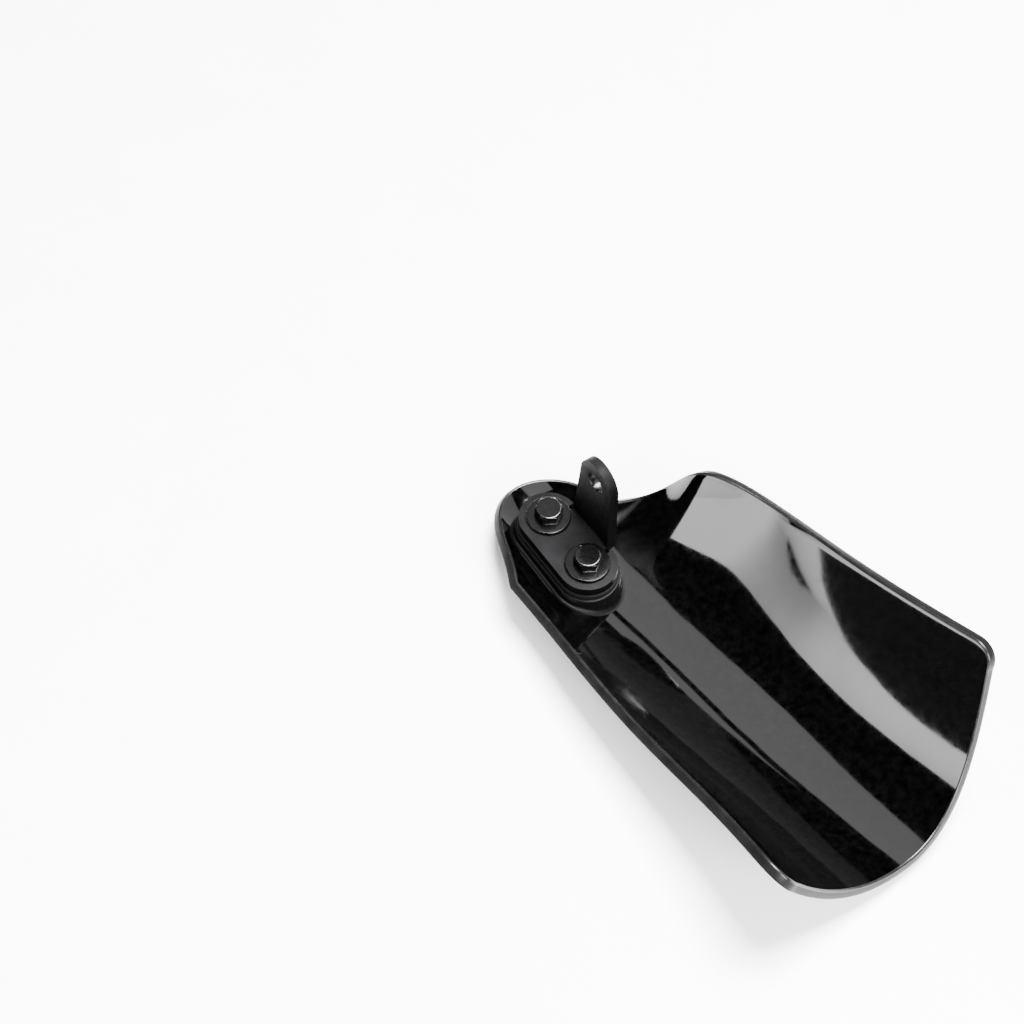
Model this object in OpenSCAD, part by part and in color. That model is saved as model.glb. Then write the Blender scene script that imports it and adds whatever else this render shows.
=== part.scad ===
// Scoop-shaped hand guard for a handlebar, lying on its back, with its steel bracket bolted in the nose.
// Millimetres, +Z up, +X from the nose to the mouth, +Y from the low near side to the high far side.
// Inside this file the scoop is drawn from the nose bolt, with the inner keel at height zero.

/* [Scoop plan] */
// Nose tip, ahead of the nose bolt
nose_tip = 24.5; // [22:0.5:27]
// Centre of the rounded nose, behind the nose bolt
nose_centre = 4; // [3:0.5:7]
// Where the near rim turns its corner
corner_x = 25.5; // [23:0.5:27]
// Where the neck station lies
neck_x = 16; // [13.5:0.5:18]
// Where the waist station lies
waist_x = 28; // [25:0.5:30]
// Where the hip station lies
hip_x = 40; // [37:0.5:43]
// Where the shoulder station lies
shoulder_x = 58; // [52:0.5:63]
// Where the belly station lies
belly_x = 102; // [92:0.5:112]
// Where the rear station lies
rear_x = 152; // [142:0.5:162]
// Middle of the mouth's edge
mouth_x = 196; // [188:0.5:206]
// How far the near end of the mouth's edge is swept forward
near_sweep = 7; // [2:0.5:14]
// How far the far end of the mouth's edge is swept forward
far_sweep = 21.5; // [8:0.5:26]
// Corner radius at the mouth, near side
near_corner = 14.5; // [9:0.5:17]
// Corner radius at the mouth, far side
far_corner = 10.5; // [8:0.5:15]

/* [Scoop half widths] */
// Nose, far side
nose_far = 22.5; // [21:0.5:26]
// Corner of the near rim
corner_near = 37; // [34:0.5:40]
// Neck, far side
neck_far = 37.5; // [34:0.5:40]
// Waist, far side
waist_far = 43; // [40:0.5:46]
// Hip, far side
hip_far = 46.5; // [43:0.5:50]
// Shoulder, near side
shoulder_near = 42.5; // [39:0.5:46]
// Shoulder, far side
shoulder_far = 51.5; // [48:0.5:55]
// Belly, near side
belly_near = 48; // [44:0.5:52]
// Belly, far side
belly_far = 51.5; // [48:0.5:56]
// Rear, near side
rear_near = 54; // [50:0.5:59]
// Mouth, near side
mouth_near = 63; // [59:0.5:68]
// Mouth, far side
mouth_far = 56.5; // [53:0.5:62]

/* [Scoop rim heights] */
// Tip
tip_high = 11.5; // [10:0.5:14]
// Nose, far side
nose_far_high = 11.5; // [10:0.5:14]
// Corner of the near rim
corner_near_high = 19; // [17:0.5:22]
// Neck, far side
neck_far_high = 17; // [15:0.5:20]
// Waist, far side
waist_far_high = 34.5; // [32:0.5:37]
// Hip, far side
hip_far_high = 40.5; // [38:0.5:43]
// Shoulder, near side
shoulder_near_high = 23; // [20:0.5:26]
// Shoulder, far side
shoulder_far_high = 40.5; // [37:0.5:43]
// Belly, near side
belly_near_high = 28.5; // [25:0.5:32]
// Belly, far side
belly_far_high = 49; // [44:0.5:52]
// Rear, near side
rear_near_high = 42; // [39:0.5:46]
// Mouth, near side
mouth_near_high = 56.5; // [53:0.5:61]
// Mouth, far side
mouth_far_high = 69; // [65:0.5:74]

/* [Scoop section] */
// Wall thickness
wall = 4; // [3:0.1:4.4]
// Radius of the section at the keel
keel_radius = 42; // [38:0.5:48]
// How far the keel lies to the far side at the tip
keel_nose = 2.5; // [0:0.5:5]
// How far the keel lies to the far side from the rise on
keel_side = 7; // [5:0.5:9]
// Where the keel begins to rise towards the nose
nose_rise_x = 60; // [50:1:66]
// How far the keel has risen at the tip
nose_rise = 7; // [5.5:0.5:8.5]
// Where the keel begins to rise towards the mouth
mouth_rise_x = 112; // [100:1:130]
// How far the keel has risen at the mouth
mouth_rise = 6.5; // [4:0.5:9]

/* [Land for the bracket] */
// Height of the land's top over the inner keel, at the nose bolt
land_high = 12.7; // [12:0.1:14]
// Slope of the land, rising towards the nose
land_pitch = 2.5; // [1:0.5:5]
// Slope of the land, rising towards the far side
land_roll = 1.5; // [0:0.5:4]
// Turn of the bolt line, towards the near side
land_turn = 5.5; // [2:0.5:7]
// How far the land stands out beyond the spacer pad
land_margin = 0.8; // [0.4:0.1:1.5]
// Radius of the fillet round the land's foot
land_fillet = 2; // [1:0.25:3]

/* [Bracket] */
// Distance between the two bolts
bolt_pitch = 27; // [25:0.5:29]
// Thickness of the bracket's steel
plate_t = 4; // [3:0.25:5]
// Half width of the bracket's foot, and the radius of its ends
foot_r = 12; // [11:0.25:13]
// Inside radius of the bend
bend_r = 1.5; // [1:0.25:2]
// Gap between a washer and the bend
bend_gap = 0.2; // [0.1:0.1:0.6]
// Where the tab begins, behind the nose bolt
tab_start = 2; // [1:0.5:4]
// Width of the tab at the bend
tab_w = 23; // [21:0.5:25]
// Radius of the tab's round top
tab_r = 9.8; // [8.5:0.1:11]
// Height of the tab's hole above the foot's top
hole_high = 32.5; // [28:0.5:40]
// Diameter of the tab's hole
hole_d = 9; // [6.6:0.2:10.4]
// Width of the relief notch at each end of the bend
relief_w = 2; // [1.5:0.25:2.5]
// Thickness of the spacer pad
pad_t = 2.5; // [2:0.25:4]
// How far the spacer pad stands out beyond the foot
pad_margin = 0.6; // [0.3:0.1:1]

/* [Fixings] */
// Bolt shank diameter
bolt_d = 6; // [5:0.5:6.5]
// Bolt head across its flats
head_af = 10; // [9:0.5:11]
// Height of the bolt head
head_h = 4.8; // [4:0.1:5.5]
// Bolt length under the head
bolt_l = 16; // [14:0.5:16]
// Clearance of the bolt in plain holes, all round
bolt_gap = 0.3; // [0.2:0.05:0.5]
// Washer outside diameter
washer_d = 18; // [16:0.5:18.5]
// Washer thickness
washer_t = 1.6; // [1.2:0.1:2]
// Insert outside diameter
insert_d = 8.5; // [8:0.25:9.5]
// Insert length
insert_l = 8; // [7:0.25:8.5]
// Clearance at the end of the insert's pocket
pocket_gap = 0.4; // [0.2:0.1:0.6]

/* [Hidden] */
$fn = 64;

rows = 58;
cols = 36;
row_crowding = 0.65;
land_steps = 20;
fillet_steps = 4;
edge_round = 0.5;
thread_gap = 0.05;
mark_depth = 0.3;

// Knots of the plan and of the rim, each [x, value]
near_plan = [[corner_x, corner_near], [shoulder_x, shoulder_near], [belly_x, belly_near],
    [rear_x, rear_near], [mouth_x, mouth_near]];
far_plan = [[nose_centre, nose_far], [neck_x, neck_far], [waist_x, waist_far], [hip_x, hip_far],
    [shoulder_x, shoulder_far], [belly_x, belly_far], [mouth_x, mouth_far]];
near_rim = [[corner_x, corner_near_high], [shoulder_x, shoulder_near_high], [belly_x, belly_near_high],
    [rear_x, rear_near_high], [mouth_x, mouth_near_high]];
far_rim = [[nose_centre, nose_far_high], [neck_x, neck_far_high], [waist_x, waist_far_high],
    [hip_x, hip_far_high], [shoulder_x, shoulder_far_high], [belly_x, belly_far_high],
    [mouth_x, mouth_far_high]];

// Smooth curve through knots, flat or free at the first one and free at the last
function sweep_down(k, i, acc) = i > len(k) - 2 ? acc :
    let (a = k[i][0] - k[i - 1][0],
         b = k[i + 1][0] - k[i][0],
         p = 2 * (a + b) - a * acc[i - 1][0],
         r = 6 * ((k[i + 1][1] - k[i][1]) / b - (k[i][1] - k[i - 1][1]) / a))
    sweep_down(k, i + 1, concat(acc, [[b / p, (r - a * acc[i - 1][1]) / p]]));
function sweep_up(s, i, tail) = i < 0 ? tail : sweep_up(s, i - 1, concat([s[i][1] - s[i][0] * tail[0]], tail));
function bends(k, flat) =
    let (a = k[1][0] - k[0][0],
         s = sweep_down(k, 1, [flat ? [0.5, 3 * (k[1][1] - k[0][1]) / (a * a)] : [0, 0]]))
    sweep_up(s, len(k) - 2, [0]);
function piece_of(k, x, i = 0) = i < len(k) - 2 && x > k[i + 1][0] ? piece_of(k, x, i + 1) : i;
function curve(k, m, x) =
    let (i = piece_of(k, x),
         h = k[i + 1][0] - k[i][0],
         a = k[i + 1][0] - x,
         b = x - k[i][0])
    (m[i] * a * a * a + m[i + 1] * b * b * b) / (6 * h)
    + (k[i][1] / h - m[i] * h / 6) * a + (k[i + 1][1] / h - m[i + 1] * h / 6) * b;
near_plan_bends = bends(near_plan, false);
far_plan_bends = bends(far_plan, true);
near_rim_bends = bends(near_rim, false);
far_rim_bends = bends(far_rim, true);

// The scoop's inner surface. The nose closes in a half ellipse on the far side, and in a half parabola
// up to the corner on the near side
function ahead_of(x, start) = max(0, min(1, (start - x) / (start + nose_tip)));
function half_width(x, far) = far
    ? curve(far_plan, far_plan_bends, max(x, nose_centre)) * sqrt(1 - pow(ahead_of(x, nose_centre), 2))
    : curve(near_plan, near_plan_bends, max(x, corner_x)) * sqrt(1 - ahead_of(x, corner_x));
function rim_height(x, far) =
    let (a = ahead_of(x, far ? nose_centre : corner_x),
         z = far ? curve(far_rim, far_rim_bends, max(x, nose_centre))
                 : curve(near_rim, near_rim_bends, max(x, corner_x)))
    z + (tip_high - z) * (far ? a * a : a * (2 - a));
function keel_y(x) = keel_side + (keel_nose - keel_side) * pow(ahead_of(x, nose_rise_x), 2);
function keel_z(x) = nose_rise * pow(ahead_of(x, nose_rise_x), 2)
    + mouth_rise * pow(max(0, (x - mouth_rise_x) / (mouth_x - mouth_rise_x)), 2);
function section(x, far, q) =
    let (w = half_width(x, far),
         z = rim_height(x, far),
         low = keel_z(x),
         bow = w * w / (2 * keel_radius),
         a = ahead_of(x, nose_centre),
         h = low + bow * q * q + (z - low - bow) * pow(q, 4 - 2 * a))
    h + (tip_high - h) * pow(a, 4);
function steepness(x, far) =
    let (w = max(half_width(x, far), 5),
         bow = w * w / (2 * keel_radius))
    norm([1, (2 * bow + 4 * (rim_height(x, far) - keel_z(x) - bow)) / w]);
function floor_at(x, y) =
    let (d = y - keel_y(x), far = d >= 0, w = max(half_width(x, far), 0.1))
    section(x, far, min(1, abs(d) / w));
function inner_place(x, far, q) =
    [x, keel_y(x) + (far ? q : -q) * half_width(x, far), section(x, far, q)];

// Unit vector into the scoop, square to its inner surface
function unit(a) = a / norm(a);
function inward(x, far, q) =
    let (e = 0.05,
         tip = x < -nose_tip + e,
         along = inner_place(x + e, far, tip ? 0 : q) - inner_place(max(x - e, -nose_tip), far, tip ? 0 : q),
         side = far ? 1 : -1,
         across = q < e ? inner_place(x, true, e) - inner_place(x, false, e)
                        : side * (inner_place(x, far, q + e) - inner_place(x, far, q - e)))
    unit(cross(along, tip ? [0, 1, 0] : across));

// Row i runs across the scoop, column j from the near rim to the far rim. One row meets the near corner
function share(i) = let (t = i / rows) (1 - row_crowding) * t + row_crowding * (1 - cos(180 * t)) / 2;
corner_row = [for (i = [1 : rows]) if (share(i) * (mouth_x + nose_tip) >= corner_x + nose_tip) i][0];
function row_x(i, v) = i <= corner_row
    ? -nose_tip + (corner_x + nose_tip) * share(i) / share(corner_row)
    : corner_x + (mouth_at(v) - corner_x) * (share(i) - share(corner_row)) / (1 - share(corner_row));
function mouth_at(v) = mouth_x - (v < 0 ? near_sweep : far_sweep) * v * v;
function corner_cut(x, v) =
    let (r = v < 0 ? near_corner : far_corner,
         over = max(0, min(1, (x - mouth_at(v) + r) / r)))
    r * (1 - sqrt(max(0, 1 - over * over))) / (max(half_width(x, v >= 0), 5) * steepness(x, v >= 0));
function grid_spot(i, j) =
    let (v = 2 * j / cols - 1, x = row_x(i, v))
    [x, v >= 0, abs(v) * (1 - corner_cut(x, v))];
spots = [for (i = [0 : rows]) [for (j = [0 : cols]) grid_spot(i, j)]];
inner = [for (r = spots) [for (s = r) inner_place(s[0], s[1], s[2])]];
outer = [for (r = spots) [for (s = r) inner_place(s[0], s[1], s[2]) - wall * inward(s[0], s[1], s[2])]];

// The part's origin is on the ground, below the middle of the scoop's box
rim_points = concat([for (r = outer) r[0]], [for (r = outer) r[cols]], outer[rows],
    [for (r = inner) r[0]], [for (r = inner) r[cols]], inner[rows]);
box_x = [for (p = rim_points) p[0]];
box_y = [for (p = rim_points) p[1]];
middle = [(min(box_x) + max(box_x)) / 2, (min(box_y) + max(box_y)) / 2, -wall];

// The stack of pad, foot and bolts is drawn on a flat of its own, from the nose bolt
module on_land() {
    translate([0, 0, land_high]) rotate([land_roll, land_pitch, -land_turn]) children();
}
function turn_z(p, a) = [p[0] * cos(a) - p[1] * sin(a), p[0] * sin(a) + p[1] * cos(a), p[2]];
function turn_y(p, a) = [p[0] * cos(a) + p[2] * sin(a), p[1], p[2] * cos(a) - p[0] * sin(a)];
function turn_x(p, a) = [p[0], p[1] * cos(a) - p[2] * sin(a), p[1] * sin(a) + p[2] * cos(a)];
function from_land(p) = turn_z(turn_y(turn_x(p, land_roll), land_pitch), -land_turn) + [0, 0, land_high];

pad_r = foot_r + pad_margin;
land_r = pad_r + land_margin;
foot_z = pad_t;
washer_z = foot_z + plate_t;
head_z = washer_z + washer_t;
tab_y = washer_d / 2 + bend_gap + bend_r;
tab_end = tab_start + tab_w;
hole_x = tab_end - tab_r;
pocket_l = insert_l + pocket_gap;
bolt_places = [0, bolt_pitch];

module stadium(r, t) {
    for (x = bolt_places) translate([x, 0, 0]) cylinder(r = r, h = t);
    translate([0, -r, 0]) cube([bolt_pitch, 2 * r, t]);
}

module tube(outer_r, inner_r, t) {
    rotate_extrude() translate([inner_r, 0]) square([outer_r - inner_r, t]);
}

// Closed wall between the inner and the outer surface, one point at the tip
function grid_id(i, j) = i == 0 ? 0 : 1 + (i - 1) * (cols + 1) + j;
module scoop_wall() {
    n = 1 + rows * (cols + 1);
    points = concat([inner[0][0]], [for (i = [1 : rows]) for (p = inner[i]) p],
        [outer[0][0]], [for (i = [1 : rows]) for (p = outer[i]) p]);
    tip_fan = [for (j = [0 : cols - 1]) [0, grid_id(1, j), grid_id(1, j + 1)]];
    skin = concat(tip_fan, [for (i = [1 : rows - 1]) for (j = [0 : cols - 1])
        for (t = [[[0, 0], [1, 0], [1, 1]], [[0, 0], [1, 1], [0, 1]]])
            [for (c = t) grid_id(i + c[0], j + c[1])]]);
    inner_skin = [for (f = skin) [f[2], f[1], f[0]]];
    outer_skin = [for (f = skin) [f[0] + n, f[1] + n, f[2] + n]];
    near_edge = [for (i = [0 : rows - 1]) [grid_id(i, 0), grid_id(i + 1, 0)]];
    far_edge = [for (i = [0 : rows - 1]) [grid_id(i + 1, cols), grid_id(i, cols)]];
    mouth_edge = [for (j = [0 : cols - 1]) [grid_id(rows, j), grid_id(rows, j + 1)]];
    rim = [for (e = concat(near_edge, far_edge, mouth_edge))
        for (t = [[e[0], e[1], e[0] + n], [e[1], e[1] + n, e[0] + n]]) t];
    polyhedron(points, concat(inner_skin, outer_skin, rim), convexity = 8);
}

// The land: a flat stadium over the nose, its foot filleted into the scoop's floor
function ring_place(k, r) =
    let (inner_end = k <= land_steps,
         a = -90 + 180 * (inner_end ? k : k - 1) / land_steps)
    [(inner_end ? bolt_pitch : 0) + r * cos(a), r * sin(a)];
ring_size = 2 * land_steps + 2;
function land_ring(r, drop, sink) = [for (k = [0 : ring_size - 1])
    let (p = ring_place(k, r), top = from_land([p[0], p[1], -drop]))
    sink == undef ? top : [top[0], top[1], floor_at(top[0], top[1]) + sink]];
module land() {
    fillet = [for (s = [0 : fillet_steps]) let (a = 90 * s / fillet_steps)
        land_ring(land_r + land_fillet * (1 - cos(a)), 0, land_fillet * (1 - sin(a)))];
    rings = concat(
        [land_ring(land_r - edge_round, 0), land_ring(land_r, edge_round)],
        fillet,
        [for (r = [land_r + land_fillet, land_r * 0.6, land_r * 0.25]) land_ring(r, 0, -wall / 2)]);
    hub = from_land([bolt_pitch / 2, 0, 0]);
    n = len(rings) * ring_size;
    points = concat([for (r = rings) for (p = r) p], [hub, [hub[0], hub[1], floor_at(hub[0], hub[1]) - wall / 2]]);
    sides = [for (k = [0 : len(rings) - 2]) for (s = [0 : ring_size - 1])
        let (a = k * ring_size + s,
             b = k * ring_size + (s + 1) % ring_size,
             c = a + ring_size,
             d = b + ring_size)
        for (t = [[a, b, d], [a, d, c]]) t];
    top = [for (s = [0 : ring_size - 1]) [n, (s + 1) % ring_size, s]];
    last = n - ring_size;
    bottom = [for (s = [0 : ring_size - 1]) [n + 1, last + s, last + (s + 1) % ring_size]];
    polyhedron(points, concat(sides, top, bottom), convexity = 6);
}

module shell() {
    color("#141416") translate(-middle) difference() {
        union() {
            scoop_wall();
            land();
        }
        on_land() for (x = bolt_places) translate([x, 0, -pocket_l]) rotate([0, 0, 30])
            cylinder(d = insert_d, h = pocket_l + pad_t);
    }
}

// Threaded insert, flush with the land, two grooves round it
module insert(x) {
    groove = 0.4;
    r = insert_d / 2;
    bore = bolt_d / 2 + thread_gap;
    color("#b08d57") translate(-middle) on_land() translate([x, 0, -insert_l]) rotate_extrude()
        polygon([[bore, 0], [r, 0], [r, 0.3 * insert_l], [r - groove, 0.35 * insert_l], [r - groove, 0.45 * insert_l],
            [r, 0.5 * insert_l], [r, 0.6 * insert_l], [r - groove, 0.65 * insert_l], [r - groove, 0.75 * insert_l],
            [r, 0.8 * insert_l], [r, insert_l], [bore + groove, insert_l], [bore, insert_l - groove]]);
}
module nose_insert() insert(0);
module inner_insert() insert(bolt_pitch);

module spacer_pad() {
    color("#1b1b1c") translate(-middle) on_land() difference() {
        stadium(pad_r, pad_t);
        for (x = bolt_places) translate([x, 0, -1]) cylinder(r = bolt_d / 2 + bolt_gap, h = pad_t + 2);
    }
}

// Tab outline in its own plane: straight far edge, slanted nose edge, round top
module tab_face() {
    lean = [hole_x - tab_start, hole_high];
    reach = norm(lean);
    a = atan2(lean[1], lean[0]) + 90 + asin(tab_r / reach);
    touch = [hole_x + tab_r * cos(a), hole_high + tab_r * sin(a)];
    difference() {
        union() {
            polygon([[tab_start, bend_r], [tab_end, bend_r], [tab_end, hole_high], [hole_x, hole_high], touch]);
            translate([hole_x, hole_high]) circle(r = tab_r);
        }
        translate([hole_x, hole_high]) circle(d = hole_d);
    }
}
module bracket() {
    color("#2a2a2c") translate(-middle) on_land() translate([0, 0, foot_z]) {
        difference() {
            union() {
                stadium(foot_r, plate_t);
                translate([tab_start, 0, 0]) cube([tab_w, tab_y - bend_r, plate_t]);
            }
            for (x = bolt_places) translate([x, 0, -1]) cylinder(r = bolt_d / 2 + bolt_gap, h = plate_t + 2);
            translate([tab_start - relief_w, tab_y - bend_r, -1]) cube([tab_w + 2 * relief_w, foot_r, plate_t + 2]);
        }
        translate([tab_start, tab_y - bend_r, plate_t + bend_r]) rotate([0, 90, 0])
            rotate_extrude(angle = 90) translate([bend_r, 0]) square([plate_t, tab_w]);
        translate([0, tab_y + plate_t, plate_t]) rotate([90, 0, 0]) linear_extrude(plate_t) tab_face();
    }
}

module washer(x) {
    color("#3a3a3d") translate(-middle) on_land() translate([x, 0, washer_z])
        tube(washer_d / 2, bolt_d / 2 + bolt_gap, washer_t);
}
module nose_washer() washer(0);
module inner_washer() washer(bolt_pitch);

// Hex head with a turned chamfer, and a plain shank
module bolt(x, marked) {
    corner = head_af / sqrt(3);
    chamfer = head_h - (corner - head_af / 2) * tan(30);
    color("#303033") translate(-middle) on_land() translate([x, 0, head_z]) {
        difference() {
            intersection() {
                cylinder(r = corner, h = head_h, $fn = 6);
                rotate_extrude() polygon([[0, 0], [corner + 1, 0], [corner + 1, chamfer - tan(30)],
                    [head_af / 2, head_h], [0, head_h]]);
            }
            if (marked) translate([0, 0, head_h - mark_depth]) for (a = [0 : 60 : 300])
                rotate([0, 0, a + 15]) translate([1.1, -0.2, 0]) cube([2.6, 0.4, mark_depth + 1]);
        }
        translate([0, 0, -bolt_l]) cylinder(d = bolt_d, h = bolt_l + 0.5);
    }
}
module nose_bolt() bolt(0, false);
module inner_bolt() bolt(bolt_pitch, true);

shell();
nose_insert();
inner_insert();
spacer_pad();
bracket();
nose_washer();
inner_washer();
nose_bolt();
inner_bolt();
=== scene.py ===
import math

import bmesh
import bpy
import numpy as np
from mathutils import Matrix, Vector
from mathutils.geometry import tessellate_polygon


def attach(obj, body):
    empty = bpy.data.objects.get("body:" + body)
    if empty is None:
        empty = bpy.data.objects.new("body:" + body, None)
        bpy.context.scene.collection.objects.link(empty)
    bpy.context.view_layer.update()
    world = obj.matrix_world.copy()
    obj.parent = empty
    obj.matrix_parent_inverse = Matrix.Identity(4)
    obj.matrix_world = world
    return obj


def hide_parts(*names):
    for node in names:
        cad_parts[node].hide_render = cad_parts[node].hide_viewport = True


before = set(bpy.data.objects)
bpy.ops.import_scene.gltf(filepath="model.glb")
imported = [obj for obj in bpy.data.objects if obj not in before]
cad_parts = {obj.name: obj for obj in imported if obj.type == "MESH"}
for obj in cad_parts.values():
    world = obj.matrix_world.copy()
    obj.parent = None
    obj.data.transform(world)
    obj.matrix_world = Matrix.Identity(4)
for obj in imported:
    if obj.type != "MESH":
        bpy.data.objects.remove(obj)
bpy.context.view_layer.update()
print("frame loaded")

# the camera comes first, so that every later choice can be looked at through it
view = {
    "place": (0.32626, -0.35974, 0.7277),  # metres, in the row's frame
    "right": (0.6333, 0.7739, 0.0),
    "up": (-0.6119, 0.5007, 0.6122),
    "forward": (-0.4738, 0.3877, -0.7907),
    "lens": 78.75, "sensor": 36.0,  # millimetres
    "nearest": 0.01, "furthest": 20.0,
}
cameraData = bpy.data.cameras.new("camera")
cameraData.lens = view["lens"]
cameraData.sensor_width = view["sensor"]
cameraData.clip_start = view["nearest"]
cameraData.clip_end = view["furthest"]
camera = bpy.data.objects.new("camera", cameraData)
turn = Matrix((view["right"], view["up"], [-c for c in view["forward"]])).transposed()
camera.matrix_world = Matrix.Translation(view["place"]) @ turn.to_4x4()
bpy.context.scene.collection.objects.link(camera)
bpy.context.scene.camera = camera
print("camera placed")

# places that the pieces share, in millimetres from the nose bolt, as the part is drawn
mm = 0.001
middle = np.array([84.9885, 4.44361, -4.0])  # where the row's origin lies
landHigh = 12.7
landTurn = (
    Matrix.Rotation(math.radians(-5.5), 3, "Z")
    @ Matrix.Rotation(math.radians(2.5), 3, "Y")
    @ Matrix.Rotation(math.radians(1.5), 3, "X")
)
boltPlaces = (0.0, 27.0)  # along the land
boltHole = 3.3  # radius, in foot, pad and washers


def toRow(points):
    return (np.asarray(points, float) - middle) * mm


def fromLand(points):
    return np.asarray(points, float) @ np.array(landTurn).T + [0, 0, landHigh]


def atHeight(flat, z):
    # lifts a flat outline to z, which is one height or a height for each point
    return np.column_stack([flat, np.broadcast_to(z, len(flat))])


def makePiece(name, points, faces, materials, faceMaterials=None, smooth=35):
    # an edge stays sharp where its faces meet at more than smooth degrees
    mesh = bpy.data.meshes.new(name)
    mesh.from_pydata([tuple(p) for p in points], [], [tuple(int(i) for i in f) for f in faces])
    for material in materials:
        mesh.materials.append(material)
    if faceMaterials is not None:
        mesh.polygons.foreach_set("material_index", np.asarray(faceMaterials, np.int32))
    mesh.validate()
    mesh.shade_smooth()
    if smooth:
        mesh.set_sharp_from_angle(angle=math.radians(smooth))
    piece = bpy.data.objects.new(name, mesh)
    bpy.context.scene.collection.objects.link(piece)
    return piece


def stripFaces(lower, upper):
    # quads between two closed rows of point numbers
    count = len(lower)
    return [[lower[k], lower[(k + 1) % count], upper[(k + 1) % count], upper[k]] for k in range(count)]


def flipped(faces):
    return [f[::-1] for f in faces]


def inset(outline, distance):
    # moves a closed outline, drawn left about, inward by distance
    p = np.asarray(outline, float)
    before = p - np.roll(p, 1, 0)
    after = np.roll(p, -1, 0) - p
    before /= np.linalg.norm(before, axis=1)[:, None]
    after /= np.linalg.norm(after, axis=1)[:, None]
    leftBefore = np.stack([-before[:, 1], before[:, 0]], 1)
    leftAfter = np.stack([-after[:, 1], after[:, 0]], 1)
    share = distance / np.maximum(1e-6, 1 + (leftBefore * leftAfter).sum(1))
    return p + (leftBefore + leftAfter) * share[:, None]


def circle(x, y, r, count, start=0.0, stop=360.0, end=False):
    a = np.radians(np.linspace(start, stop, count, endpoint=end))
    return np.stack([x + r * np.cos(a), y + r * np.sin(a)], 1)


def filled(points, numbers, outlines, up):
    # triangles between an outline and its holes, all facing up or all facing down
    faces = []
    for t in tessellate_polygon([[Vector((q[0], q[1], 0)) for q in outline] for outline in outlines]):
        a, b, c = (Vector(points[numbers[i]]) for i in t)
        faces.append([numbers[i] for i in (t if ((b - a).cross(c - a).z > 0) == up else t[::-1])])
    return faces


def plate(outline, holes, low, high, bevel, steps=3):
    # a flat plate with rounded edges: its points and faces, z up
    points, faces = [], []
    lows, highs = [], []
    for loop in [np.asarray(outline, float)] + [np.asarray(h, float)[::-1] for h in holes]:
        rows = []
        for level, side, order in ((low, 1, range(steps + 1)), (high, -1, range(steps, -1, -1))):
            for s in order:
                a = math.radians(90 * s / steps)
                flat = inset(loop, bevel * (1 - math.sin(a)))
                rows.append((flat, level + side * bevel * (1 - math.cos(a))))
        numbers = []
        for flat, z in rows:
            numbers.append([len(points) + k for k in range(len(flat))])
            points += [(q[0], q[1], z) for q in flat]
        for a, b in zip(numbers, numbers[1:]):
            faces += stripFaces(a, b)
        lows.append((rows[0][0], numbers[0]))
        highs.append((rows[-1][0], numbers[-1]))
    for up, ends in ((False, lows), (True, highs)):
        faces += filled(points, sum((e[1] for e in ends), []), [e[0] for e in ends], up)
    return np.array(points), faces


def lathe(profile, count):
    # turns a closed profile of (radius, height) about z
    points, rings, faces = [], [], []
    for r, z in profile:
        rings.append([len(points) + k for k in range(count)])
        points += [(q[0], q[1], z) for q in circle(0, 0, r, count)]
    for a, b in zip(rings, rings[1:] + rings[:1]):
        faces += stripFaces(a, b)
    return np.array(points), faces


# materials, each named for the real finish
def rgb(code):
    # sRGB hex to linear light
    parts = [int(code[i:i + 2], 16) / 255 for i in (1, 3, 5)]
    return [c / 12.92 if c <= 0.04045 else ((c + 0.055) / 1.055) ** 2.4 for c in parts] + [1.0]


def addNode(tree, kind, inputs=None, output=0, **settings):
    # adds a node, fills or links its inputs by name or number, and gives one of its outputs
    node = tree.nodes.new(kind)
    for key, value in settings.items():
        setattr(node, key, value)
    for key, value in (inputs or {}).items():
        if isinstance(value, bpy.types.NodeSocket):
            tree.links.new(value, node.inputs[key])
        else:
            node.inputs[key].default_value = value
    return node.outputs[output]


def newMaterial(name, place=(0, 0, 0), turned=(0, 0, 0), **sockets):
    # a material, its node tree, and object coordinates in millimetres, centred and turned on a piece;
    # a pattern's scale there is one over the size of its features
    material = bpy.data.materials.new(name)
    material.use_nodes = True
    tree = material.node_tree
    for key, value in sockets.items():
        tree.nodes["Principled BSDF"].inputs[key.replace("_", " ")].default_value = value
    where = addNode(tree, "ShaderNodeTexCoord", output="Object")
    inputs = {"Vector": where, "Location": place, "Rotation": turned, "Scale": (1 / mm,) * 3}
    return material, tree, addNode(tree, "ShaderNodeMapping", inputs)


noise = "ShaderNodeTexNoise"
patternSpan = {"From Min": 0.3, "From Max": 0.7}  # where nearly all of a noise lies


def shade(tree, pattern, dark, pale, span=patternSpan):
    # runs from the dark to the pale colour as the pattern rises through span
    level = addNode(tree, "ShaderNodeMapRange", {"Value": pattern, **span})
    return addNode(tree, "ShaderNodeMixRGB", {"Fac": level, "Color1": rgb(dark), "Color2": rgb(pale)})


def finish(tree, colour, rough, relief=None):
    # rough is a pattern with its least and most roughness; relief is a pattern with its height in
    # millimetres and its strength
    shader = tree.nodes["Principled BSDF"]
    tree.links.new(colour, shader.inputs["Base Color"])
    inputs = {"Value": rough[0], "To Min": rough[1], "To Max": rough[2], **patternSpan}
    tree.links.new(addNode(tree, "ShaderNodeMapRange", inputs), shader.inputs["Roughness"])
    if relief:
        inputs = {"Height": relief[0], "Distance": relief[1] * mm, "Strength": relief[2]}
        tree.links.new(addNode(tree, "ShaderNodeBump", inputs), shader.inputs["Normal"])


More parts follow.
